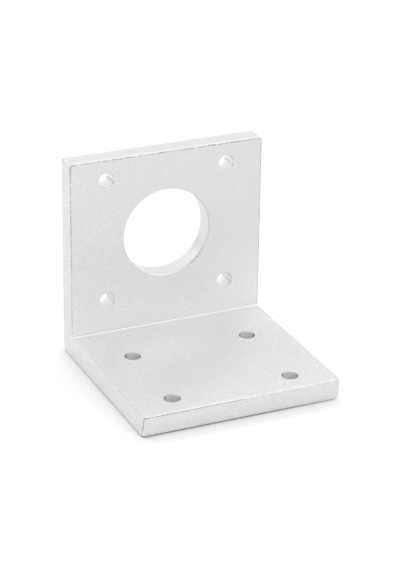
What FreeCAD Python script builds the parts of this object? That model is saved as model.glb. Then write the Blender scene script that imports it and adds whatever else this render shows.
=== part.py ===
import FreeCAD, Part
import os
import Sketcher

# Motor mounting bracket: one aluminium angle with a motor face and a bolt-down foot.
# Frame: +Z up, X across the width, the upright at the +Y end of the foot.
# Origin: the middle of the foot's underside. Lengths in millimetres.

NODE = "motor_bracket"

doc = FreeCAD.newDocument("MotorBracket")

# Driving dimensions

DIMENSIONS = [
    ("width", "50", "length of the angle, left end to right end"),
    ("height", "50", "underside of the foot to the top of the upright"),
    ("foot_depth", "49.5", "back face of the upright to the front edge of the foot"),
    ("wall", "5.2", "thickness of both legs"),
    ("inner_radius", "0.5", "fillet where the legs meet"),
    ("heel_radius", "1.5", "outer corner of the angle, end to end"),
    ("corner_radius", "1", "front corners of the foot and top corners of the upright"),
    ("edge_radius", "0.5", "rounding of every other outside edge"),
    ("bore_diameter", "22.1", "opening for the motor's 22 mm pilot"),
    ("bore_drop", "21", "motor axis below the top edge, half of a 42 mm motor"),
    ("bore_height", "=height - bore_drop", "motor axis above the underside"),
    ("bore_chamfer", "0.3", "break on both rims of the bore"),
    ("motor_spacing", "31", "side of the square of motor holes"),
    ("motor_hole_diameter", "3.7", "clearance for an M3 screw"),
    ("motor_hole_chamfer", "0.4", "break on the rim at the motor face"),
    ("motor_hole_chamfer_angle", "90", "included angle of that break"),
    ("foot_spacing_across", "30", "foot holes, left to right"),
    ("foot_spacing_along", "23.5", "foot holes, front to back"),
    ("foot_hole_margin", "6.25", "front row of holes to the front edge"),
    ("foot_hole_diameter", "4", "foot screw hole"),
]

sheet = doc.addObject("Spreadsheet::Sheet", "Dimensions")
for row, (alias, value, meaning) in enumerate(DIMENSIONS, start=1):
    sheet.set("A%d" % row, meaning)
    sheet.set("B%d" % row, value)
    sheet.setAlias("B%d" % row, alias)
doc.recompute()

# Vertex numbers that name a line's two ends and a circle's centre
START, END, CENTRE = range(1, 4)

# The sketch's own axes are numbered down from -1, and its origin point starts the first
ACROSS_AXIS, UPRIGHT_AXIS = range(-1, -3, -1)
ORIGIN_POINT = (ACROSS_AXIS, START)

body = doc.addObject("PartDesign::Body", "Bracket")
body.Label = NODE


def sketch_on(role, name):
    """A sketch of this body on one of its origin planes."""
    plane = [item for item in body.Origin.OriginFeatures if item.Role == role][0]
    sketch = body.newObject("Sketcher::SketchObject", name)
    sketch.AttachmentSupport = [(plane, "")]
    sketch.MapMode = "FlatFace"
    return sketch


def size(sketch, name, formula, kind, *geometry):
    """A named dimension of the sketch that follows a formula of the sheet's cells."""
    value = sketch.evalExpression(formula)
    index = sketch.addConstraint(Sketcher.Constraint(kind, *geometry, value))
    sketch.renameConstraint(index, name)
    sketch.setExpression("Constraints." + name, formula)


def hole_square(sketch, prefix, across, along, middle, diameter):
    """Four equal circles at the corners of a rectangle centred on the upright axis."""
    corners = [("left_low", -1, -1), ("right_low", 1, -1), ("right_high", 1, 1), ("left_high", -1, 1)]
    half_across = sheet.get(across) / 2
    half_along = sheet.get(along) / 2
    ids = {}
    for name, side, level in corners:
        centre = FreeCAD.Vector(side * half_across, level * half_along, 0)
        circle = Part.Circle(centre, FreeCAD.Vector(0, 0, 1), sheet.get(diameter) / 2)
        ids[name] = sketch.addGeometry(circle)
    for name in ("right_low", "right_high", "left_high"):
        sketch.addConstraint(Sketcher.Constraint("Equal", ids["left_low"], ids[name]))
    for level in ("low", "high"):
        pair = (ids["left_" + level], CENTRE, ids["right_" + level], CENTRE)
        sketch.addConstraint(Sketcher.Constraint("Symmetric", *pair, UPRIGHT_AXIS))
    sketch.addConstraint(Sketcher.Constraint("Vertical", ids["right_low"], CENTRE, ids["right_high"], CENTRE))
    size(sketch, prefix + "_across", "Dimensions." + across, "DistanceX",
         ids["left_low"], CENTRE, ids["right_low"], CENTRE)
    size(sketch, prefix + "_along", "Dimensions." + along, "DistanceY",
         ids["right_low"], CENTRE, ids["right_high"], CENTRE)
    size(sketch, prefix + "_upper_row", "%s + Dimensions.%s / 2" % (middle, along), "DistanceY",
         *ORIGIN_POINT, ids["right_high"], CENTRE)
    size(sketch, prefix + "_diameter", "Dimensions." + diameter, "Diameter", ids["left_low"])


def edges_of(feature, wanted):
    """Names of the feature's edges that pass the test."""
    return ["Edge%d" % (i + 1) for i, edge in enumerate(feature.Shape.Edges) if wanted(edge)]


def close(one, other):
    return abs(one - other) < 1e-4


def is_sharp(shape, edge):
    """Whether the two faces that meet at the edge turn a corner there."""
    middle = edge.valueAt((edge.FirstParameter + edge.LastParameter) / 2)
    faces = shape.ancestorsOfType(edge, Part.Face)
    normals = [face.normalAt(*face.Surface.parameter(middle)) for face in faces]
    return normals[0].getAngle(normals[1]) > 0.1


# Angle stock: an L-shaped outline pushed out to both sides of the middle plane

outline = sketch_on("YZ_Plane", "AngleOutline")
half_width = sheet.get("width") / 2
half_depth = sheet.get("foot_depth") / 2
wall = sheet.get("wall")
height = sheet.get("height")
points = [
    (-half_depth, 0),
    (half_depth, 0),
    (half_depth, height),
    (half_depth - wall, height),
    (half_depth - wall, wall),
    (-half_depth, wall),
]
UNDERSIDE, BACK, TOP, MOTOR_FACE, FOOT_TOP, FRONT = range(6)
for i, (along, up) in enumerate(points):
    next_along, next_up = points[(i + 1) % len(points)]
    ends = [FreeCAD.Vector(along, up, 0), FreeCAD.Vector(next_along, next_up, 0)]
    outline.addGeometry(Part.LineSegment(*ends))
for i in range(len(points)):
    outline.addConstraint(Sketcher.Constraint("Coincident", i, END, (i + 1) % len(points), START))
for line in (UNDERSIDE, TOP, FOOT_TOP):
    outline.addConstraint(Sketcher.Constraint("Horizontal", line))
for line in (BACK, MOTOR_FACE, FRONT):
    outline.addConstraint(Sketcher.Constraint("Vertical", line))
outline.addConstraint(Sketcher.Constraint("Symmetric", UNDERSIDE, START, UNDERSIDE, END, *ORIGIN_POINT))
size(outline, "foot_depth", "Dimensions.foot_depth", "DistanceX", UNDERSIDE, START, UNDERSIDE, END)
size(outline, "height", "Dimensions.height", "DistanceY", BACK, START, BACK, END)
size(outline, "upright_wall", "Dimensions.wall", "DistanceX", TOP, END, TOP, START)
size(outline, "foot_wall", "Dimensions.wall", "DistanceY", FRONT, END, FRONT, START)

stock = body.newObject("PartDesign::Pad", "AngleStock")
stock.Profile = outline
stock.SideType = "Symmetric"
stock.setExpression("Length", "Dimensions.width")
doc.recompute()


# Fillet in the inner corner, rounded heel and corners, and the broken edges all round the outside

def runs_across(edge):
    first, last = edge.Vertexes[0].Point, edge.Vertexes[-1].Point
    return close(first.y, last.y) and close(first.z, last.z)


def in_inner_corner(edge):
    middle = edge.CenterOfMass
    return runs_across(edge) and close(middle.y, half_depth - wall) and close(middle.z, wall)


corner_fillet = body.newObject("PartDesign::Fillet", "InnerCornerFillet")
corner_fillet.Base = (stock, edges_of(stock, in_inner_corner))
corner_fillet.setExpression("Radius", "Dimensions.inner_radius")
doc.recompute()


def on_heel(edge):
    middle = edge.CenterOfMass
    return runs_across(edge) and close(middle.y, half_depth) and close(middle.z, 0)


def on_end_corner(edge):
    """One of the foot's two upright front edges, or of the upright's two level top edges, at the ends."""
    middle = edge.CenterOfMass
    front = close(middle.y, -half_depth) and close(middle.z, wall / 2)
    top = close(middle.z, height) and close(middle.y, half_depth - wall / 2)
    return close(abs(middle.x), half_width) and (front or top)


heel_fillet = body.newObject("PartDesign::Fillet", "HeelFillet")
heel_fillet.Base = (corner_fillet, edges_of(corner_fillet, on_heel))
heel_fillet.setExpression("Radius", "Dimensions.heel_radius")
doc.recompute()

end_corners = body.newObject("PartDesign::Fillet", "EndCornerFillet")
end_corners.Base = (heel_fillet, edges_of(heel_fillet, on_end_corner))
end_corners.setExpression("Radius", "Dimensions.corner_radius")
doc.recompute()

edge_rounding = body.newObject("PartDesign::Fillet", "OuterEdgeRounding")
edge_rounding.Base = (end_corners, edges_of(end_corners, lambda edge: is_sharp(end_corners.Shape, edge)))
edge_rounding.setExpression("Radius", "Dimensions.edge_radius")
doc.recompute()

# Bore for the motor's pilot, cut from the motor face towards the back

MOTOR_FACE_OFFSET = "Dimensions.wall - Dimensions.foot_depth / 2"

bore_sketch = sketch_on("XZ_Plane", "BoreCircle")
bore_sketch.setExpression("AttachmentOffset.Base.z", MOTOR_FACE_OFFSET)
bore_circle = Part.Circle(
    FreeCAD.Vector(0, sheet.get("bore_height"), 0), FreeCAD.Vector(0, 0, 1), sheet.get("bore_diameter") / 2)
bore_id = bore_sketch.addGeometry(bore_circle)
bore_sketch.addConstraint(Sketcher.Constraint("PointOnObject", bore_id, CENTRE, UPRIGHT_AXIS))
size(bore_sketch, "bore_height", "Dimensions.bore_height", "DistanceY", *ORIGIN_POINT, bore_id, CENTRE)
size(bore_sketch, "bore_diameter", "Dimensions.bore_diameter", "Diameter", bore_id)

bore = body.newObject("PartDesign::Pocket", "Bore")
bore.Profile = bore_sketch
bore.setExpression("Length", "Dimensions.wall")
doc.recompute()


def is_bore_rim(edge):
    if edge.Degenerated or not edge.Closed:
        return False
    return close(edge.Curve.Radius, sheet.get("bore_diameter") / 2)


bore_rims = body.newObject("PartDesign::Chamfer", "BoreRimChamfer")
bore_rims.Base = (bore, edges_of(bore, is_bore_rim))
bore_rims.setExpression("Size", "Dimensions.bore_chamfer")
doc.recompute()

# Motor screw holes: a square round the bore, each with a broken rim on the motor face

motor_sketch = sketch_on("XZ_Plane", "MotorHoleSquare")
motor_sketch.setExpression("AttachmentOffset.Base.z", MOTOR_FACE_OFFSET)
MOTOR_MIDDLE = "Dimensions.bore_height"
hole_square(motor_sketch, "motor", "motor_spacing", "motor_spacing", MOTOR_MIDDLE, "motor_hole_diameter")
doc.recompute()

motor_holes = body.newObject("PartDesign::Hole", "MotorHoles")
motor_holes.Profile = motor_sketch
motor_holes.ThreadType = "None"
motor_holes.DepthType = "ThroughAll"
motor_holes.HoleCutType = "Countersink"
motor_holes.HoleCutCustomValues = True
motor_holes.setExpression("Diameter", "Dimensions.motor_hole_diameter")
motor_holes.setExpression(
    "HoleCutDiameter", "Dimensions.motor_hole_diameter + 2 * Dimensions.motor_hole_chamfer")
motor_holes.setExpression("HoleCutCountersinkAngle", "Dimensions.motor_hole_chamfer_angle")
doc.recompute()

# Foot screw holes: plain, straight down through the foot

foot_sketch = sketch_on("XY_Plane", "FootHoleRectangle")
foot_sketch.setExpression("AttachmentOffset.Base.z", "Dimensions.wall")
FOOT_MIDDLE = "Dimensions.foot_hole_margin - Dimensions.foot_depth / 2 + Dimensions.foot_spacing_along / 2"
hole_square(
    foot_sketch, "foot", "foot_spacing_across", "foot_spacing_along", FOOT_MIDDLE, "foot_hole_diameter")
doc.recompute()

foot_holes = body.newObject("PartDesign::Hole", "FootHoles")
foot_holes.Profile = foot_sketch
foot_holes.ThreadType = "None"
foot_holes.DepthType = "ThroughAll"
foot_holes.setExpression("Diameter", "Dimensions.foot_hole_diameter")
body.Tip = foot_holes
doc.recompute()

# Every cut takes material away, every feature is sound, and the piece is one closed solid

steps = [heel_fillet, end_corners, edge_rounding, bore, bore_rims, motor_holes, foot_holes]
for before, after in zip(steps, steps[1:]):
    removed = before.Shape.Volume - after.Shape.Volume
    print("%-16s takes %.1f mm3" % (after.Name, removed))
    if removed <= 0:
        raise RuntimeError(after.Name + " takes no material away")

for item in doc.Objects:
    if "Invalid" in item.State or "Error" in item.State:
        raise RuntimeError("%s didn't compute: %s" % (item.Name, item.State))
if body.Shape.isNull() or not body.Shape.isValid() or len(body.Shape.Solids) != 1:
    raise RuntimeError(NODE + " isn't one valid solid")

box = body.Shape.optimalBoundingBox(False, False)
print("box %.2f x %.2f x %.2f mm" % (box.XLength, box.YLength, box.ZLength))
print("volume %.1f mm3" % body.Shape.Volume)

os.makedirs("parts", exist_ok=True)
body.Shape.exportStep("parts/%s.step" % NODE)
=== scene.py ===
import math

import bmesh
import bpy
from mathutils import Euler, Matrix, Vector, noise


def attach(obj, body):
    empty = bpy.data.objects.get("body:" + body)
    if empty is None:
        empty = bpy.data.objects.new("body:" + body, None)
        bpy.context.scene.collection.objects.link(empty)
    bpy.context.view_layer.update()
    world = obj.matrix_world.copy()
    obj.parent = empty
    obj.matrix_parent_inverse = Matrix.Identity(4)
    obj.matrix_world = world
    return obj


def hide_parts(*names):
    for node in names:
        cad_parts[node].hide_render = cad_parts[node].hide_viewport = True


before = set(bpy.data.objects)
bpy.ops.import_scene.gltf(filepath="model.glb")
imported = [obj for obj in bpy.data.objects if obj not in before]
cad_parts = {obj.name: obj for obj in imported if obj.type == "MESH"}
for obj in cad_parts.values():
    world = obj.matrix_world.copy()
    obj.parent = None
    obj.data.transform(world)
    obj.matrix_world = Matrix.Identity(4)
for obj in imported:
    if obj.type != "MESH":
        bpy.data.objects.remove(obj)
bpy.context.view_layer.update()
scene = bpy.context.scene

MM = 0.001

# The bracket's sizes in millimetres, as its solid has them

WIDTH = 50.0
DEPTH = 49.5                # from the foot's front edge to the upright's back
HEIGHT = 50.0
WALL = 5.2                  # of both legs
HEEL_ROUNDING = 1.5         # where the underside meets the back
CORNER_ROUNDING = 1.0       # of the foot's front corners and the upright's top corners
ROUNDING = 0.5              # of every other edge, and of the fillet between the legs
BORE_DIAMETER = 22.1
BORE_HEIGHT = 29.0          # of the motor axis above the underside
BORE_BREAK = 0.3            # of both rims
MOTOR_SPACING = 31.0        # side of the motor holes' square
MOTOR_DIAMETER = 3.7
MOTOR_BREAK = 0.4           # of the motor holes' rims on the motor face
MOTOR_BACK_BREAK = 0.25     # of their rims on the back, which the solid leaves sharp
FOOT_ACROSS = 30.0          # between the foot holes from left to right
FOOT_ALONG = 23.5           # between the foot holes from front to back
FOOT_DIAMETER = 4.0
FOOT_MARGIN = 6.25          # from the front edge to the first foot holes

HALF_WIDTH = WIDTH / 2
HALF_DEPTH = DEPTH / 2
MOTOR_FACE = HALF_DEPTH - WALL


def linear(text):
    """Scene-linear RGBA of an sRGB hex colour."""
    shares = [int(text[i:i + 2], 16) / 255 for i in (1, 3, 5)]
    return [s / 12.92 if s <= 0.04045 else ((s + 0.055) / 1.055) ** 2.4 for s in shares] + [1.0]


def add(tree, kind, sockets=None, **settings):
    """Adds a node with its settings. Each socket named is given a value, or linked to another socket."""
    node = tree.nodes.new(kind)
    for key, value in settings.items():
        setattr(node, key, value)
    for key, value in (sockets or {}).items():
        if isinstance(value, bpy.types.NodeSocket):
            tree.links.new(value, node.inputs[key])
        else:
            node.inputs[key].default_value = value
    return node


# Camera: the photograph's place, turn and lens. Its offset, in millimetres along its own axes, is from the
# middle of the underside's back edge

FRAME_WIDTH, FRAME_HEIGHT = 400, 570
FOCAL_PIXELS = 2188.72
CAMERA_AZIMUTH, CAMERA_ELEVATION, CAMERA_ROLL = -24.571, 24.492, 0.831
CAMERA_RIGHT, CAMERA_UP, CAMERA_BACK = 10.490, 11.680, 543.581
CAMERA_NEAR, CAMERA_FAR = 0.01, 20      # metres


def photo_camera():
    azimuth, elevation, roll = (math.radians(a) for a in (CAMERA_AZIMUTH, CAMERA_ELEVATION, CAMERA_ROLL))
    reach = math.cos(elevation)
    back = Vector((math.sin(azimuth) * reach, -math.cos(azimuth) * reach, math.sin(elevation)))
    level_right = Vector((math.cos(azimuth), math.sin(azimuth), 0))
    level_up = back.cross(level_right)
    right = level_right * math.cos(roll) + level_up * math.sin(roll)
    up = level_up * math.cos(roll) - level_right * math.sin(roll)
    place = right * CAMERA_RIGHT + up * CAMERA_UP + back * CAMERA_BACK + Vector((0, HALF_DEPTH, 0))
    data = bpy.data.cameras.new("photo_camera")
    data.lens = FOCAL_PIXELS * data.sensor_width / max(FRAME_WIDTH, FRAME_HEIGHT)
    data.clip_start, data.clip_end = CAMERA_NEAR, CAMERA_FAR
    camera = bpy.data.objects.new("photo_camera", data)
    camera.matrix_world = Matrix.Translation(place * MM) @ Matrix((right, up, back)).transposed().to_4x4()
    scene.collection.objects.link(camera)
    scene.camera = camera


photo_camera()

# Finishes. Lengths are in millimetres and shares run from 0 to 1

WHITE = "#FFFFFF"
PIT_GREY, CROWN_GREY = "#D8D8D8", "#EBEBEB"     # in the blast pits, and between them
PAINTED_LIGHT_PIT_GREY = "#ECECEC"                       # painted light: the pits' grey in the inner corner and on the upright's top
DULL_AND_SHADED_GREY = "#D8D8D8"                           # where most beads came, and painted shade on the upright's right end and sawn ends
# the dark marks along edges and rims: nicks, painted shade and painted shadow
NICK_AND_SHADE_GREY = "#606060"

PIT_SIZE = 0.34         # blast pits are about 0.1 mm across: they are drawn coarser, since those don't show
PIT_STRETCH = 2         # they are drawn this much longer along the foot
PIT_DEPTH = 0.015
PIT_ROUGHNESS, CROWN_ROUGHNESS, DARK_MARK_ROUGHNESS, CUT_ROUGHNESS = 0.44, 0.36, 0.9, 0.38
BLASTED_METALLIC = 0.5  # the anodised pits scatter about half of the light without a metal's reflection
CLOUD_SIZE = 9          # of the clouds that uneven blasting leaves
CLOUD_SHARE = 0.12
RIGHT_END_SHADE_SHARE = 0.5      # of the painted shade at the upright's right end
END_SHADE_SHARE = 0.45   # of the painted shade on the upright's sawn ends
END_SHADE_FROM, END_SHADE_TO = 3, 8       # the levels between which that painted shade sets in
FACE_MARGIN = 0.05      # a face's own shade starts this far inside its outermost place
CORNER_LIGHT_SHARE = 0.58     # of the painted light in the inner corner
CORNER_LIGHT_REACH = 23       # how far from the inner corner it goes
TOP_LIGHT_SHARE = 0.22   # of the painted light on the upright's top
TOP_LIGHT_MARGIN = 0.1
RING_SPACING = 0.5      # the feed is about 0.1 mm a turn: its rings are drawn coarser, since those don't show
RING_DEPTH = 0.01
BAND_SPACING = 0.314    # of a wave texture's bands at a scale of 1


def per_metre(millimetres):
    """A texture's scale for features of a real size."""
    return 1 / (millimetres * MM)


def finish(name):
    """An empty material."""
    material = bpy.data.materials.new(name)
    material.use_nodes = True
    material.node_tree.nodes.clear()
    return material


def marked(tree, skin):
    """The skin's colour with the painted highlights and the dark marks, nicks and painted shade, over it, and
    both marks' shares.
    """
    painted_highlight = add(tree, "ShaderNodeAttribute", attribute_name="painted_highlight").outputs["Fac"]
    highlighted = add(tree, "ShaderNodeMix", {
        "Factor": painted_highlight, "A": skin, "B": linear(WHITE)}, data_type="RGBA").outputs["Result"]
    nicks_and_shade = add(tree, "ShaderNodeAttribute", attribute_name="nicks_and_shade").outputs["Fac"]
    darkened = add(tree, "ShaderNodeMix", {
        "Factor": nicks_and_shade, "A": highlighted, "B": linear(NICK_AND_SHADE_GREY)}, data_type="RGBA").outputs["Result"]
    return darkened, painted_highlight, nicks_and_shade


def painted_shade_share(tree, side, level, from_middle):
    """Painted shade: darker toward the upright's right end, and on its sawn ends, which are darker than the
    foot's.
    """
    on_upright = add(tree, "ShaderNodeMapRange", {
        "Value": level, "From Min": WALL * MM, "From Max": 3 * WALL * MM,
        "To Max": RIGHT_END_SHADE_SHARE}).outputs["Result"]
    right_end_shade = add(tree, "ShaderNodeMapRange", {
        "Value": side, "From Min": -HALF_WIDTH * MM, "From Max": HALF_WIDTH * MM,
        "To Max": on_upright}).outputs["Result"]
    above_foot = add(tree, "ShaderNodeMapRange", {
        "Value": level, "From Min": END_SHADE_FROM * MM, "From Max": END_SHADE_TO * MM,
        "To Max": END_SHADE_SHARE}).outputs["Result"]
    end_shade = add(tree, "ShaderNodeMapRange", {
        "Value": from_middle, "From Min": (HALF_WIDTH - ROUNDING) * MM,
        "From Max": (HALF_WIDTH - FACE_MARGIN) * MM, "To Max": above_foot}).outputs["Result"]
    return add(tree, "ShaderNodeMath", {0: right_end_shade, 1: end_shade}, operation="MAXIMUM").outputs["Value"]


def painted_light_share(tree, place, level, from_middle):
    """Painted light: paler in the inner corner and on the upright's top."""
    from_corner = add(tree, "ShaderNodeVectorMath", {
        0: place, 1: (0, MOTOR_FACE * MM, WALL * MM)}, operation="SUBTRACT").outputs["Vector"]
    across = add(tree, "ShaderNodeVectorMath", {
        0: from_corner, 1: (0, 1, 1)}, operation="MULTIPLY").outputs["Vector"]
    reach = add(tree, "ShaderNodeVectorMath", {0: across}, operation="LENGTH").outputs["Value"]
    off_the_ends = add(tree, "ShaderNodeMapRange", {
        "Value": from_middle, "From Min": (HALF_WIDTH - FACE_MARGIN) * MM,
        "From Max": (HALF_WIDTH - ROUNDING) * MM, "To Max": CORNER_LIGHT_SHARE}).outputs["Result"]
    corner_light = add(tree, "ShaderNodeMapRange", {
        "Value": reach, "From Min": CORNER_LIGHT_REACH * MM, "From Max": 0.0, "To Max": off_the_ends},
        interpolation_type="SMOOTHSTEP").outputs["Result"]
    top_light = add(tree, "ShaderNodeMapRange", {
        "Value": level, "From Min": (HEIGHT - ROUNDING) * MM, "From Max": (HEIGHT - TOP_LIGHT_MARGIN) * MM,
        "To Max": TOP_LIGHT_SHARE}).outputs["Result"]
    return add(tree, "ShaderNodeMath", {0: corner_light, 1: top_light}, operation="MAXIMUM").outputs["Value"]


def blasted_aluminium():
    """Extruded aluminium, bead blasted and clear anodised.

    The beads leave fine pits that scatter light evenly: a pale matt grey with a fine grain and no clear
    reflection. Painted highlights lie along the edges' crests, and dark marks of nicks and painted shade
    beside the sawn and milled faces. Light is painted paler into the inner corner and onto the upright's top,
    and shade darker onto the upright's right end and its sawn ends.
    """
    material = finish("bead_blasted_clear_anodised_aluminium")
    tree = material.node_tree
    place = add(tree, "ShaderNodeTexCoord").outputs["Object"]
    drawn_out = add(tree, "ShaderNodeMapping", {
        "Vector": place, "Scale": (1, 1 / PIT_STRETCH, 1)}).outputs["Vector"]
    pits = add(tree, "ShaderNodeTexNoise", {
        "Vector": drawn_out, "Scale": per_metre(PIT_SIZE), "Detail": 1, "Roughness": 0.6}).outputs["Fac"]
    crowns = add(tree, "ShaderNodeMapRange", {
        "Value": pits, "From Min": 0.25, "From Max": 0.75}).outputs["Result"]
    skin = add(tree, "ShaderNodeMix", {
        "Factor": crowns, "A": linear(PIT_GREY), "B": linear(CROWN_GREY)}, data_type="RGBA").outputs["Result"]
    clouds = add(tree, "ShaderNodeTexNoise", {
        "Vector": place, "Scale": per_metre(CLOUD_SIZE), "Detail": 2}).outputs["Fac"]
    cloudy = add(tree, "ShaderNodeMapRange", {
        "Value": clouds, "From Min": 0.3, "From Max": 0.7, "To Max": CLOUD_SHARE}).outputs["Result"]
    clouded = add(tree, "ShaderNodeMix", {
        "Factor": cloudy, "A": skin, "B": linear(DULL_AND_SHADED_GREY)}, data_type="RGBA").outputs["Result"]
    axes = add(tree, "ShaderNodeSeparateXYZ", {"Vector": place}).outputs
    from_middle = add(tree, "ShaderNodeMath", {0: axes["X"]}, operation="ABSOLUTE").outputs["Value"]
    shaded = add(tree, "ShaderNodeMix", {
        "Factor": painted_shade_share(tree, axes["X"], axes["Z"], from_middle), "A": clouded,
        "B": linear(DULL_AND_SHADED_GREY)}, data_type="RGBA").outputs["Result"]
    painted_light_skin = add(tree, "ShaderNodeMix", {
        "Factor": crowns, "A": linear(PAINTED_LIGHT_PIT_GREY), "B": linear(WHITE)}, data_type="RGBA").outputs["Result"]
    lightened = add(tree, "ShaderNodeMix", {
        "Factor": painted_light_share(tree, place, axes["Z"], from_middle), "A": shaded,
        "B": painted_light_skin}, data_type="RGBA").outputs["Result"]
    colour, painted_highlight, nicks_and_shade = marked(tree, lightened)
    matt = add(tree, "ShaderNodeMapRange", {
        "Value": crowns, "To Min": PIT_ROUGHNESS, "To Max": CROWN_ROUGHNESS}).outputs["Result"]
    # Where the dark marks lie the metal is dull, and where either mark lies it scatters like chalk
    roughness = add(tree, "ShaderNodeMapRange", {
        "Value": nicks_and_shade, "To Min": matt, "To Max": DARK_MARK_ROUGHNESS}).outputs["Result"]
    any_mark = add(tree, "ShaderNodeMath", {0: painted_highlight, 1: nicks_and_shade}, operation="MAXIMUM").outputs["Value"]
    metallic = add(tree, "ShaderNodeMapRange", {
        "Value": any_mark, "To Min": BLASTED_METALLIC, "To Max": 0.0}).outputs["Result"]
    relief = add(tree, "ShaderNodeBump", {
        "Height": pits, "Strength": 0.3, "Distance": PIT_DEPTH * MM}).outputs["Normal"]
    shader = add(tree, "ShaderNodeBsdfPrincipled", {
        "Base Color": colour, "Metallic": metallic, "Roughness": roughness, "Normal": relief})
    add(tree, "ShaderNodeOutputMaterial", {"Surface": shader.outputs["BSDF"]})
    return material


def bored_aluminium(name, groove, crown, metallic, tool_axis):
    """Bored or drilled aluminium: brighter and smoother than the blasted skin, ringed by the tool's feed.

    Its tones are of the grooves that the tool leaves and of the crowns between them.
    """
    material = finish(name)
    tree = material.node_tree
    place = add(tree, "ShaderNodeTexCoord").outputs["Object"]
    rings = add(tree, "ShaderNodeTexWave", {
        "Vector": place, "Scale": per_metre(RING_SPACING) * BAND_SPACING, "Distortion": 0.6, "Detail": 2,
        "Detail Scale": 1.5}, wave_type="BANDS", bands_direction=tool_axis).outputs["Fac"]
    tone = add(tree, "ShaderNodeMix", {
        "Factor": rings, "A": linear(groove), "B": linear(crown)}, data_type="RGBA").outputs["Result"]
    relief = add(tree, "ShaderNodeBump", {
        "Height": rings, "Strength": 0.2, "Distance": RING_DEPTH * MM}).outputs["Normal"]
    shader = add(tree, "ShaderNodeBsdfPrincipled", {
        "Base Color": marked(tree, tone)[0], "Metallic": metallic, "Roughness": CUT_ROUGHNESS,
        "Normal": relief})
    add(tree, "ShaderNodeOutputMaterial", {"Surface": shader.outputs["BSDF"]})
    return material


BLASTED = blasted_aluminium()
BORED = bored_aluminium("bored_clear_anodised_aluminium", "#D6D6D6", "#EEEEEE", metallic=0.35, tool_axis="Y")
REAMED = bored_aluminium("reamed_clear_anodised_aluminium", "#F6F6F6", WHITE, metallic=0.05, tool_axis="Y")
DRILLED = bored_aluminium(
    "drilled_clear_anodised_aluminium", "#ECECEC", "#F8F8F8", metallic=0.1, tool_axis="Z")

# The angle: an L-shaped outline with rounded corners, carried from end to end and rounded over at both ends

STEP = 0.25             # mesh spacing along an edge, fine enough to hold the blasted edges' unevenness
ARC_STEPS = 6           # facets across the smallest rounding
SAME_PLACE = 1e-4       # points nearer than this are merged

# Corners of the outline with their roundings, from the underside's front round to the front of the foot's top
ANGLE_CORNERS = [
    (-HALF_DEPTH, 0, ROUNDING),
    (HALF_DEPTH, 0, HEEL_ROUNDING),
    (HALF_DEPTH, HEIGHT, ROUNDING),
    (MOTOR_FACE, HEIGHT, ROUNDING),
    (MOTOR_FACE, WALL, ROUNDING),
    (-HALF_DEPTH, WALL, ROUNDING),
]


def stations(start, end):
    """Evenly spaced places from start to end, both ends in."""
    count = max(1, round(abs(end - start) / STEP))
    return [start + (end - start) * i / count for i in range(count + 1)]


def angle_runs():
    """The corner arcs and the straight runs between them, each a list of points with their inward normals."""
    corners = [Vector(c[:2]) for c in ANGLE_CORNERS]
    arcs, tangents = [], []
    for k, corner in enumerate(corners):
        arriving = (corner - corners[k - 1]).normalized()
        leaving = (corners[(k + 1) % len(corners)] - corner).normalized()
        convex = arriving.x * leaving.y - arriving.y * leaving.x > 0
        rounding = ANGLE_CORNERS[k][2]
        centre = corner + (leaving - arriving) * rounding
        steps = round(ARC_STEPS * rounding / ROUNDING)
        arc = []
        for i in range(steps + 1):
            turn = math.pi / 2 * i / steps
            spoke = arriving * math.sin(turn) - leaving * math.cos(turn)
            arc.append((centre + spoke * rounding, -spoke if convex else spoke))
        arcs.append(arc)
        tangents.append(leaving)
    flats = []
    for k, arc in enumerate(arcs):
        start, end = arc[-1][0], arcs[(k + 1) % len(arcs)][0][0]
        inward = Vector((-tangents[k].y, tangents[k].x))
        flats.append([(start + tangents[k] * s, inward) for s in stations(0, (end - start).length)])
    return arcs, flats


# Marks on the edges. Each is a share from 0 to 1: its strength, times how uneven it is along the edge, times
# how near a place is to the middle of its band. A band is a middle and a reach round a rounded edge, in
# degrees that the surface has turned toward the face in front, or risen toward the face on top

WEAR_DEPTH = 0.08               # of the deepest nick
UNEVEN_DEPTH = 0.02             # of the blasted edges' unevenness
TINY = 1e-3                     # a place on a flat face is within this of it
FLECKS_PER_MM, GRIT_PER_MM, SPECKS_PER_MM, PATCHES_PER_MM = 5.1, 2.9, 2.1, 0.42
SPECK_SHIFT, PATCH_SHIFT = (0, 7.7, 0), (3.1, 0, 0)     # these keep one noise from following another
DIE_LINES_PER_MM = 0.9          # unevenness of the drawn fillet
CHATTER_PER_DEGREE = 0.35       # unevenness of the bore's rim
SIDE_TURN = 1                   # an edge from front to back turns less than this
LOOKS_DOWN = -0.05              # the Z of a normal that belongs to the underside's edges is below this
NEARLY_LEVEL = 0.3              # and that of the foot's upright front corners is within this of 0
FOOT_LEVEL = WALL + 1           # the foot's edges are below this

FRONT_DARK, SIDE_DARK = 0.9, 0.55           # the painted shadow on the underside's front and side edges
FRONT_PALE_FROM, FRONT_PALE_OVER = 8, 14    # where its front edge turns paler, from left to right
FRONT_PALE = 0.6                            # and by how much
BACK_PALE_OVER, BACK_DARK = 8, 0.3          # its side edges turn paler over this, toward the back
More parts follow.
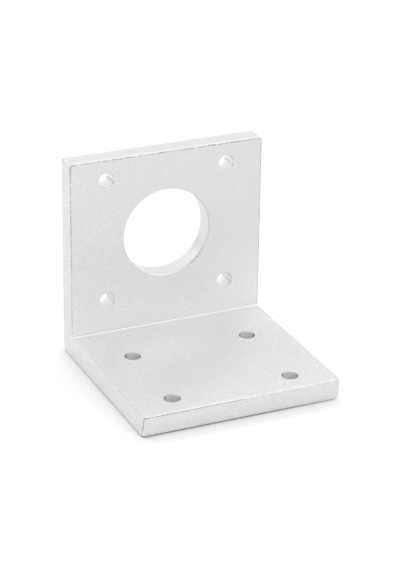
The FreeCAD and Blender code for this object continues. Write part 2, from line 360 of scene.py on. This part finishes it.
# In the marks below, nicks, burrs, tears and torn lines are nicks and painted shade together, and crests are
# painted highlights
FRONT_CORNER_BAND = (52, 34)
LEFT_LINE_FROM, LEFT_LINE_TO = -10, 90                # the turn of the left corner's dark line, from its bottom to its top
LEFT_LINE_REACH = 26
FRONT_CORNER_DARK_REACH = 2.2
FOOT_DARK_BAND, FOOT_HIGHLIGHT_BAND = (68, 22), (36, 30)
RIGHT_SIDE_DARK_FROM, RIGHT_SIDE_DARK_OVER = 8, 6       # where the dark line along the foot's right side turns full, front to back
LEFT_SIDE_DARK_OVER = 10                        # the left side's dark marks grow over this, toward the front
RIGHT_SIDE_BAND = (61, 28)
LEFT_SIDE_BAND, LEFT_SIDE_HIGHLIGHT_BAND = (60, 26), (50, 30)
RIGHT_EDGE_DARK_BAND = (56, 33)
RIGHT_EDGE_DARK_REACH = 9                          # the upright's right edge is darkest this near its top
DARK_LINE_TURN, HIGHLIGHT_BAND = 68, (34, 30)
SIDE_LINE, TOP_LINE = 22, 18                # half widths of the dark line round the upright
TOP_CORNER_DARK_DROP, TOP_CORNER_DARK_REACH = 1.2, 1.6
BACK_DARK_REACH = 1.3
FILLET_SHADE_BAND, FILLET_HIGHLIGHT_BAND = (80, 16), (38, 36)
FILLET_SHADE_OVER = 30                      # the fillet's dark line fades over this, left to right


def clamp(value):
    return max(0.0, min(1.0, value))


def hat(value, peak, reach):
    """1 at the peak, falling smoothly to 0 at its reach on either side."""
    away = min(1.0, abs(value - peak) / reach)
    return 1 - away * away * (3 - 2 * away)


def turned(share):
    """How far a surface faces along an axis, in degrees, from its normal's share of it."""
    return math.degrees(math.asin(min(1.0, abs(share))))


def flecks(point):
    """Noise of about -1 to 1 that breaks the marks up, as grit, specks and patches do on a coarser scale."""
    return noise.noise(point * FLECKS_PER_MM)


def grit(point):
    return noise.noise(point * GRIT_PER_MM)


def specks(point):
    return noise.noise(point * SPECKS_PER_MM + Vector(SPECK_SHIFT))


def patches(point):
    return noise.noise(point * PATCHES_PER_MM + Vector(PATCH_SHIFT))


def uneven(point):
    """How much stronger or weaker a dark line is at a place along its edge."""
    return 0.35 * patches(point) + grit(point) + 0.9 * flecks(point)


def edge_marks(point, normal, depth):
    """The dark marks, nicks and painted shade, and the painted highlight at a place on a rounded edge, each 0
    to 1.
    """
    turn = turned(normal.y)
    if in_fillet(point):
        return fillet_marks(point, turn)
    if depth < TINY:
        return 0.0, 0.0
    if normal.z < LOOKS_DOWN and point.z < WALL:
        return underside_marks(point, normal, turn), 0.0
    if abs(normal.z) < NEARLY_LEVEL and point.z < WALL:
        return front_corner_marks(point, turn), 0.0
    if point.z < FOOT_LEVEL and turn < SIDE_TURN:
        return foot_side_marks(point, turned(normal.z))
    if point.z < FOOT_LEVEL:
        return foot_front_marks(point, turn)
    if point.x > HALF_WIDTH - CORNER_ROUNDING and point.z < HEIGHT - CORNER_ROUNDING:
        return right_edge_dark_marks(point, turn), 0.0
    return upright_marks(point, turn, depth)


def in_fillet(point):
    """Whether a place lies on the fillet between the legs."""
    return TINY < MOTOR_FACE - point.y < ROUNDING - TINY and TINY < point.z - WALL < ROUNDING - TINY


def fillet_marks(point, turn):
    """The fillet has a painted highlight, under a thin line of painted shade that fades to the right."""
    shade = 0.5 * hat(turn, *FILLET_SHADE_BAND) * clamp(0.9 - point.x / FILLET_SHADE_OVER)
    return shade, clamp(0.95 + 0.4 * noise.noise(point * DIE_LINES_PER_MM)) * hat(turn, *FILLET_HIGHLIGHT_BAND)


def underside_marks(point, normal, turn):
    """Painted shadow on the underside's edges, darkest where they face down."""
    if turn < SIDE_TURN:
        dark = SIDE_DARK * clamp(BACK_DARK + (HALF_DEPTH - point.y) / BACK_PALE_OVER)
    else:
        dark = FRONT_DARK - FRONT_PALE * clamp((point.x - FRONT_PALE_FROM) / FRONT_PALE_OVER)
    faces_down = clamp(-3 * normal.z)
    return dark * clamp(1 + 0.5 * grit(point)) * faces_down


def front_corner_marks(point, turn):
    """Dark marks of nicks and painted shade on the foot's right front corner, and a dark line of both that
    wanders down the rounding of the left one.
    """
    if point.x > 0:
        return 0.6 * clamp(0.7 + uneven(point)) * hat(turn, *FRONT_CORNER_BAND)
    line_turn = LEFT_LINE_FROM + (LEFT_LINE_TO - LEFT_LINE_FROM) * point.z / WALL
    return clamp(0.8 + 0.6 * uneven(point)) * hat(turn, line_turn, LEFT_LINE_REACH)


def foot_side_marks(point, rise):
    """Dark lines of nicks and painted shade along the foot's right and left top edges, and specks of painted
    highlight along the left one.
    """
    if point.x > 0:
        through = clamp((point.y - RIGHT_SIDE_DARK_FROM) / RIGHT_SIDE_DARK_OVER)
        return clamp(0.65 + 1.2 * uneven(point) + through) * hat(rise, *RIGHT_SIDE_BAND), 0.0
    share = 0.2 + 0.3 * clamp(-point.y / LEFT_SIDE_DARK_OVER)
    dark_share = share * clamp(0.6 + 1.2 * uneven(point)) * hat(rise, *LEFT_SIDE_BAND)
    return dark_share, 0.7 * clamp(4 * specks(point) - 1) * hat(rise, *LEFT_SIDE_HIGHLIGHT_BAND)


def foot_front_marks(point, turn):
    """The foot's top front edge has a painted highlight, and dark marks of nicks and painted shade, strongest
    at its corners.
    """
    from_corner = math.hypot(HALF_WIDTH - abs(point.x), point.y + HALF_DEPTH)
    front_corner_dark = (0.6 if point.x > 0 else 1.0) * hat(from_corner, 0, FRONT_CORNER_DARK_REACH)
    dark_share = (0.5 * clamp(0.1 + 1.5 * uneven(point)) + front_corner_dark) * hat(turn, *FOOT_DARK_BAND)
    highlighted = clamp(0.55 + 3.2 * specks(point) + 1.2 * flecks(point)) * hat(turn, *FOOT_HIGHLIGHT_BAND)
    return clamp(dark_share), highlighted


def right_edge_dark_marks(point, turn):
    """The upright's right edge has a dark line of nicks and painted shade right round to the end face."""
    share = 0.7 + 0.3 * hat(point.z, HEIGHT, RIGHT_EDGE_DARK_REACH)
    return share * clamp(0.7 + uneven(point)) * hat(turn, *RIGHT_EDGE_DARK_BAND)


def upright_marks(point, turn, depth):
    """The upright's other edges have a dark line of nicks and painted shade beside the face, and a painted
    highlight on their crests.
    """
    if point.z > HEIGHT - ROUNDING:
        dark_strength, highlighted, line = 1.0, 1.0, TOP_LINE
        change = 0.2 * patches(point) + 0.6 * grit(point) + 1.9 * flecks(point)
    else:
        dark_strength, highlighted, line = 0.5 + 0.3 * clamp((point.z - WALL) / (HEIGHT - WALL)), 0.4, SIDE_LINE
        change = uneven(point)
    # The dark marks, nicks and painted shade, are biggest at the top left corner, with a dark spot behind it
    from_top_corner = math.hypot(point.x + HALF_WIDTH - ROUNDING, point.z - HEIGHT + TOP_CORNER_DARK_DROP)
    top_corner_dark = hat(from_top_corner, 0, TOP_CORNER_DARK_REACH) if point.y < MOTOR_FACE + ROUNDING else 0.0
    from_back = (point - Vector((-HALF_WIDTH, HALF_DEPTH - ROUNDING, HEIGHT - ROUNDING))).length
    line += 10 * patches(point) + 14 * top_corner_dark
    dark_share = dark_strength * clamp(0.66 + change + top_corner_dark) * hat(turn, DARK_LINE_TURN, line)
    across = 0.1 * crest_share(depth) if turn < SIDE_TURN else hat(turn, *HIGHLIGHT_BAND)
    highlighted *= clamp(0.6 + 2.6 * specks(point) + flecks(point)) * across
    return max(dark_share, 0.45 * hat(from_back, 0, BACK_DARK_REACH)), highlighted


def crest_share(depth):
    """How near to the middle of a rounding a place is, from its depth below the sharp corner."""
    return min(1.0, depth / (ROUNDING * (1 - math.sqrt(0.5))))


def depth_below_faces(x, y, z):
    """Depth of a point below the nearest flat face of the sharp-cornered angle."""
    notch = max(y - MOTOR_FACE, WALL - z)
    return max(0.0, min(HALF_WIDTH - abs(x), HALF_DEPTH - abs(y), z, HEIGHT - z, notch))


def bend(across, along):
    """Moves a point of a corner with the small rounding to where it lies when the corner has the larger one.

    Both values are measured outward from the middle of the larger rounding.
    """
    if across <= 0 or along <= 0:
        return across, along
    reach = math.hypot(across, along)
    c, s = across / reach, along / reach
    core = CORNER_ROUNDING - ROUNDING
    if min(c, s) * CORNER_ROUNDING <= core * max(c, s):
        outline = CORNER_ROUNDING / max(c, s)
    else:
        middle = core * (c + s)
        outline = middle + math.sqrt(middle ** 2 - 2 * core ** 2 + ROUNDING ** 2)
    return across * CORNER_ROUNDING / outline, along * CORNER_ROUNDING / outline


def round_end_corners(place):
    """Rounds the foot's front corners, seen from above, and the upright's top ones, seen from the front."""
    x, y, z = place
    side = math.copysign(1, x)
    across = abs(x) - (HALF_WIDTH - CORNER_ROUNDING)
    front, top = -(HALF_DEPTH - CORNER_ROUNDING), HEIGHT - CORNER_ROUNDING
    if y < front:
        bent, along = bend(across, front - y)
        return Vector((x + side * (bent - across), front - along, z))
    if z > top:
        bent, along = bend(across, z - top)
        return Vector((x + side * (bent - across), y, top + along))
    return place


BLUNT = 1.8             # how far the worn corner reaches, added up along its three edges


def blunt_corner(place):
    """The foot's lower right front corner is worn blunt."""
    from_corner = HALF_WIDTH - place.x + place.y + HALF_DEPTH + place.z
    worn = max(0.0, BLUNT - from_corner) / 3
    return place + Vector((-worn, worn, worn))


def angle_blank():
    """The angle before drilling, with its marks and its worn edges."""
    arcs, flats = angle_runs()
    shape = bmesh.new()
    made = {}

    def vertex(x, place, inset, key):
        if key not in made:
            point, inward = place
            y, z = point + inward * inset
            made[key] = shape.verts.new((x, y, z))
        return made[key]

    def ring(side, step):
        """The whole outline at one step of an end's rounding."""
        turn = math.pi / 2 * step / ARC_STEPS
        x = side * (HALF_WIDTH - ROUNDING + ROUNDING * math.sin(turn))
        inset = ROUNDING * (1 - math.cos(turn))
        loop = []
        for k in range(len(arcs)):
            loop += [vertex(x, p, inset, (side, step, k, "arc", i)) for i, p in enumerate(arcs[k])]
            loop += [vertex(x, p, inset, (side, step, k, "flat", i)) for i, p in enumerate(flats[k])][1:-1]
        return loop

    rings = {side: [ring(side, step) for step in range(ARC_STEPS + 1)] for side in (-1, 1)}
    for side in (-1, 1):
        for inner, outer in zip(rings[side], rings[side][1:]):
            count = len(inner)
            for i in range(count):
                shape.faces.new((inner[i], inner[(i + 1) % count], outer[(i + 1) % count], outer[i]))
        shape.faces.new(rings[side][-1])
    xs = stations(-(HALF_WIDTH - ROUNDING), HALF_WIDTH - ROUNDING)

    def column(k, i):
        """One line of the corner arc k from the left end to the right end."""
        line = [made[(-1, 0, k, "arc", i)]]
        line += [vertex(x, arcs[k][i], 0, ("middle", n, k, i)) for n, x in enumerate(xs[1:-1])]
        return line + [made[(1, 0, k, "arc", i)]]

    for k in range(len(arcs)):
        columns = [column(k, i) for i in range(len(arcs[k]))]
        for one, other in zip(columns, columns[1:]):
            for n in range(len(one) - 1):
                shape.faces.new((one[n], one[n + 1], other[n + 1], other[n]))
        following = column((k + 1) % len(arcs), 0)
        left = [made[(-1, 0, k, "flat", i)] for i in range(1, len(flats[k]) - 1)]
        right = [made[(1, 0, k, "flat", i)] for i in range(1, len(flats[k]) - 1)]
        shape.faces.new(columns[-1] + right + following[::-1] + left[::-1])
    bmesh.ops.remove_doubles(shape, verts=shape.verts, dist=SAME_PLACE)
    shape.normal_update()
    bmesh.ops.recalc_face_normals(shape, faces=shape.faces)
    shape.normal_update()
    nicks_and_shade = shape.verts.layers.float.new("nicks_and_shade")
    painted_highlight = shape.verts.layers.float.new("painted_highlight")
    for vert in shape.verts:
        depth = depth_below_faces(*vert.co)
        vert[nicks_and_shade], vert[painted_highlight] = edge_marks(vert.co, vert.normal, depth)
        unevenness = UNEVEN_DEPTH * crest_share(depth) * abs(grit(vert.co))
        worn = vert.co - vert.normal * (WEAR_DEPTH * vert[nicks_and_shade] + unevenness)
        vert.co = blunt_corner(round_end_corners(worn))
    bmesh.ops.scale(shape, vec=(MM, MM, MM), verts=shape.verts)
    mesh = bpy.data.meshes.new("angle_blank")
    shape.to_mesh(mesh)
    shape.free()
    mesh.materials.append(BLASTED)
    return mesh


# Holes: a lathe-turned cutter at each corner of a rectangle, taken out of the angle. An arc is a mark's
# middle and reach round a hole, in degrees, 0 to the right and 90 up the upright or back along the foot

CLEAR = 0.6                 # how far a cutter stands out of the metal
RIM_MARGIN = 0.05           # where a broken rim's mark starts, just inside the face
MARK_WIDTH = 0.12           # how far a rim's mark runs down the wall
TOOL_MARK = WALL - 1.7      # how far down the bore's wall its tool mark lies
TOOL_MARK_REACH = 0.25
BORE_SIDES, HOLE_SIDES = 256, 72
POINT_REACH = 1e-6          # metres: a hole pattern's points nearer than this are one

# Round the holes, nick marks are nicks and painted shade, the drag line and swarf marks are painted shade,
# and crests are painted highlights
BORE_DARK_ARC, BORE_SHADE_ARC, BORE_HIGHLIGHT_ARC = (-43, 28), (-5, 75), (-100, 35)
TOOL_MARK_ARC = (-38, 28)
DARK_LINE_ARC = (-16, 7)
FACE_DARK_ARC, FACE_HIGHLIGHT_ARC = (45, 35), (-100, 14)
RIM_DARK_ARC, FAR_RIM_DARK_ARC, RIM_HIGHLIGHT_ARC = (-25, 18), (-150, 24), (-100, 12)
SIDE_SHADE_ARC, FAR_SIDE_SHADE_ARC = (-25, 60), (155, 60)


def round_hat(angle, peak, reach):
    """A hat on the circle, in degrees."""
    away = abs(angle - peak) % 360
    return hat(min(away, 360 - away), 0, reach)


def bore_marks(angle, level):
    """Painted shade on the rim at the right, nicks lower down and a painted highlight at the bottom, and a
    tool mark round the wall.
    """
    if level > BORE_BREAK + MARK_WIDTH / 2:
        return 0.3 * hat(level, TOOL_MARK, TOOL_MARK_REACH) * round_hat(angle, *TOOL_MARK_ARC), 0.0
    change = noise.noise(Vector((angle * CHATTER_PER_DEGREE, level, 0)))
    dark_share = 0.5 * clamp(0.6 + 1.2 * change) * round_hat(angle, *BORE_DARK_ARC)
    dark = 0.1 if level > RIM_MARGIN else 0.36
    shade = dark * clamp(0.7 + 0.8 * change) * round_hat(angle, *BORE_SHADE_ARC)
    return max(dark_share, shade), clamp(0.5 + change) * round_hat(angle, *BORE_HIGHLIGHT_ARC)


def motor_hole_marks(angle, level):
    """A dark line of painted shade down the right side of each hole, dark marks of nicks and painted shade at
    the rim, and a painted highlight at its bottom.
    """
    line = 0.5 * round_hat(angle, *DARK_LINE_ARC)
    if level < MOTOR_BREAK / 2:
        return 0.2 + 0.2 * round_hat(angle, *FACE_DARK_ARC), 0.2 * round_hat(angle, *FACE_HIGHLIGHT_ARC)
    if level < MOTOR_BREAK + MARK_WIDTH:
        dark_share = max(0.6 * round_hat(angle, *RIM_DARK_ARC), 0.45 * round_hat(angle, *FAR_RIM_DARK_ARC))
        return max(line, dark_share, 0.25), 0.3 * round_hat(angle, *RIM_HIGHLIGHT_ARC)
    return line, 0.0


def foot_hole_marks(angle, level):
    """Painted shade on two sides of the foot's holes, and a painted highlight that grows the deeper the wall
    goes.
    """
    sides = max(round_hat(angle, *SIDE_SHADE_ARC), round_hat(angle, *FAR_SIDE_SHADE_ARC))
    return 0.6 * clamp(2 * sides), clamp(level / WALL)


def cutter(name, diameter, front_break, back_break, sides, wall_finish, marks):
    """A through cutter along Z from the entry face at level 0, with its mouths flared to break the rims.

    The marks are a function of the angle round the hole and of the level below the entry face.
    """
    radius = diameter / 2
    profile = [(radius + front_break + CLEAR, -CLEAR)]
    if front_break:
        profile.append((radius + front_break - RIM_MARGIN, RIM_MARGIN))
    levels = [front_break, front_break + MARK_WIDTH]
    levels += [TOOL_MARK - TOOL_MARK_REACH, TOOL_MARK, TOOL_MARK + TOOL_MARK_REACH, WALL - back_break]
    profile += [(radius, level) for level in levels]
    profile.append((radius + back_break + CLEAR, WALL + CLEAR))
    shape = bmesh.new()
    nicks_and_shade = shape.verts.layers.float.new("nicks_and_shade")
    painted_highlight = shape.verts.layers.float.new("painted_highlight")
    loops = []
    for reach, level in profile:
        loop = []
        for i in range(sides):
            turn = 2 * math.pi * i / sides
            vert = shape.verts.new((reach * math.cos(turn) * MM, reach * math.sin(turn) * MM, level * MM))
            # A cutter enters the metal turned over, so its angles run the other way round
            angle = (180 - math.degrees(turn)) % 360 - 180
            vert[nicks_and_shade], vert[painted_highlight] = marks(angle, level)
            loop.append(vert)
        loops.append(loop)
    for low, high in zip(loops, loops[1:]):
        for i in range(sides):
            shape.faces.new((low[i], low[(i + 1) % sides], high[(i + 1) % sides], high[i]))
    shape.faces.new(loops[0][::-1])
    shape.faces.new(loops[-1])
    bmesh.ops.recalc_face_normals(shape, faces=shape.faces)
    mesh = bpy.data.meshes.new(name)
    shape.to_mesh(mesh)
    shape.free()
    mesh.materials.append(wall_finish)
    tool = bpy.data.objects.new(name, mesh)
    scene.collection.objects.link(tool)
    return tool


def hole_pattern():
    """Geometry nodes that take one cutter out of the metal at each corner of a rectangle."""
    tree = bpy.data.node_groups.new("hole_pattern", "GeometryNodeTree")
    kinds = [("Metal", "NodeSocketGeometry"), ("Cutter", "NodeSocketObject"), ("Across", "NodeSocketFloat"),
             ("Along", "NodeSocketFloat"), ("Centre", "NodeSocketVector"), ("Turn", "NodeSocketRotation")]
    for name, kind in kinds:
        tree.interface.new_socket(name, in_out="INPUT", socket_type=kind)
    tree.interface.new_socket("Metal", in_out="OUTPUT", socket_type="NodeSocketGeometry")
    given = add(tree, "NodeGroupInput").outputs
    grid = add(tree, "GeometryNodeMeshGrid", {
        "Size X": given["Across"], "Size Y": given["Along"], "Vertices X": 2, "Vertices Y": 2})
    # A rectangle of no size leaves one point, for the bore
    points = add(tree, "GeometryNodeMergeByDistance", {
        "Geometry": grid.outputs["Mesh"], "Distance": POINT_REACH})
    tool = add(tree, "GeometryNodeObjectInfo", {"Object": given["Cutter"], "As Instance": True})
    placed = add(tree, "GeometryNodeInstanceOnPoints", {
        "Points": points.outputs["Geometry"], "Instance": tool.outputs["Geometry"]})
    square = add(tree, "GeometryNodeTransform", {
        "Geometry": placed.outputs["Instances"], "Translation": given["Centre"], "Rotation": given["Turn"]})
    tools = add(tree, "GeometryNodeRealizeInstances", {"Geometry": square.outputs["Geometry"]})
    cut = add(tree, "GeometryNodeMeshBoolean", {
        "Mesh 1": given["Metal"], "Mesh 2": tools.outputs["Geometry"]},
        operation="DIFFERENCE", solver="MANIFOLD")
    real = add(tree, "GeometryNodeRealizeInstances", {"Geometry": cut.outputs["Mesh"]})
    blasted = add(tree, "GeometryNodeMaterialSelection", {"Material": BLASTED})
    finished = add(tree, "GeometryNodeSetMaterial", {
        "Geometry": real.outputs["Geometry"], "Selection": blasted.outputs["Selection"], "Material": BLASTED})
    add(tree, "NodeGroupOutput", {"Metal": finished.outputs["Geometry"]})
    return tree


def drill(blank, tree, tool, across, along, centre, turn):
    """Has the hole pattern take a cutter out of the blank, round a centre on the face that it enters."""
    values = {"Cutter": tool, "Across": across * MM, "Along": along * MM, "Centre": centre * MM, "Turn": turn}
    step = blank.modifiers.new("holes", "NODES")
    step.node_group = tree
    for item in tree.interface.items_tree:
        if item.in_out == "INPUT" and item.name in values:
            step[item.identifier] = values[item.name]


SHARP_ANGLE = 35            # degrees between faces from which an edge is drawn sharp
LARGE_FACES_ONLY = 100      # weight at which the large flat faces alone set the shading of their edges


def bracket():
    """The drilled, marked and shaded bracket as one plain mesh."""
    blank = bpy.data.objects.new("angle_blank", angle_blank())
    scene.collection.objects.link(blank)
    tree = hole_pattern()
    bore_tool = cutter("bore_cutter", BORE_DIAMETER, BORE_BREAK, BORE_BREAK, BORE_SIDES, BORED, bore_marks)
    motor_tool = cutter("motor_hole_cutter", MOTOR_DIAMETER, MOTOR_BREAK, MOTOR_BACK_BREAK, HOLE_SIDES,
                        REAMED, motor_hole_marks)
    foot_tool = cutter("foot_hole_cutter", FOOT_DIAMETER, 0, 0, HOLE_SIDES, DRILLED, foot_hole_marks)
    motor_axis = Vector((0, MOTOR_FACE, BORE_HEIGHT))
    foot_middle = Vector((0, FOOT_MARGIN + FOOT_ALONG / 2 - HALF_DEPTH, WALL))
    backward = Euler((math.radians(-90), 0, 0))
    downward = Euler((math.radians(180), 0, 0))
    drill(blank, tree, bore_tool, 0, 0, motor_axis, backward)
    drill(blank, tree, motor_tool, MOTOR_SPACING, MOTOR_SPACING, motor_axis, backward)
    drill(blank, tree, foot_tool, FOOT_ACROSS, FOOT_ALONG, foot_middle, downward)
    graph = bpy.context.evaluated_depsgraph_get()
    mesh = bpy.data.meshes.new_from_object(blank.evaluated_get(graph))
    mesh.name = "motor_bracket_metal"
    for used in (blank, bore_tool, motor_tool, foot_tool):
        bpy.data.objects.remove(used)
    mesh.shade_smooth()
    mesh.set_sharp_from_angle(angle=math.radians(SHARP_ANGLE))
    piece = bpy.data.objects.new("motor_bracket_metal", mesh)
    scene.collection.objects.link(piece)
    even = piece.modifiers.new("flat_faces", "WEIGHTED_NORMAL")
    even.keep_sharp = True
    even.weight = LARGE_FACES_ONLY
    graph = bpy.context.evaluated_depsgraph_get()
    final = bpy.data.meshes.new_from_object(piece.evaluated_get(graph))
    piece.modifiers.clear()
    piece.data = final
    final.name = "motor_bracket_metal"
    return piece


metal = bracket()
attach(metal, "root")
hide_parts("motor_bracket")

# Stage: a white floor in a white room, with soft lights that the camera doesn't see. Lengths are in metres

FLOOR_HALF = 3.0
ROOM_STRENGTH = 0.80
LIGHT_DISTANCE = 1.1
LARGE_BOX, LOW_BOX = (0.7, 0.7), (0.7, 0.25)

# Each softbox's azimuth, 0 in front and 90 to the right, its elevation, its size and its watts
SOFTBOXES = {
    "overhead_back_softbox": (170, 60, LARGE_BOX, 1.6),
    "front_right_softbox": (25, 40, LARGE_BOX, 1.7),
    "back_right_softbox": (125, 35, LARGE_BOX, 1.2),
    "back_left_softbox": (-145, 35, LARGE_BOX, 1.15),
    "low_left_softbox": (-95, 8, LOW_BOX, 1.12),
}


def floor():
    """A matt white floor that takes soft shadows and shows no reflection."""
    material = finish("white_sweep")
    shader = add(material.node_tree, "ShaderNodeBsdfPrincipled", {
        "Base Color": linear(WHITE), "Roughness": 0.9, "Specular IOR Level": 0.0})
    add(material.node_tree, "ShaderNodeOutputMaterial", {"Surface": shader.outputs["BSDF"]})
    mesh = bpy.data.meshes.new("floor")
    corners = [(x * FLOOR_HALF, y * FLOOR_HALF, 0) for x, y in ((-1, -1), (1, -1), (1, 1), (-1, 1))]
    mesh.from_pydata(corners, [], [(0, 1, 2, 3)])
    mesh.materials.append(material)
    ground = bpy.data.objects.new("floor", mesh)
    scene.collection.objects.link(ground)


def white_room():
    world = bpy.data.worlds.new("white_room")
    world.use_nodes = True
    room = world.node_tree.nodes["Background"]
    room.inputs["Color"].default_value = linear(WHITE)
    room.inputs["Strength"].default_value = ROOM_STRENGTH
    scene.world = world


def softbox(name, azimuth, elevation, size, watts):
    """A soft light that looks at the bracket."""
    turn, rise = math.radians(azimuth), math.radians(elevation)
    toward = Vector((math.sin(turn) * math.cos(rise), -math.cos(turn) * math.cos(rise), math.sin(rise)))
    data = bpy.data.lights.new(name, "AREA")
    data.shape = "RECTANGLE"
    data.size, data.size_y = size
    data.energy = watts
    light = bpy.data.objects.new(name, data)
    light.location = toward * LIGHT_DISTANCE
    light.rotation_euler = (-toward).to_track_quat("-Z", "Y").to_euler()
    light.visible_camera = False
    scene.collection.objects.link(light)


floor()
white_room()
for name, values in SOFTBOXES.items():
    softbox(name, *values)

scene.view_settings.view_transform = "Standard"
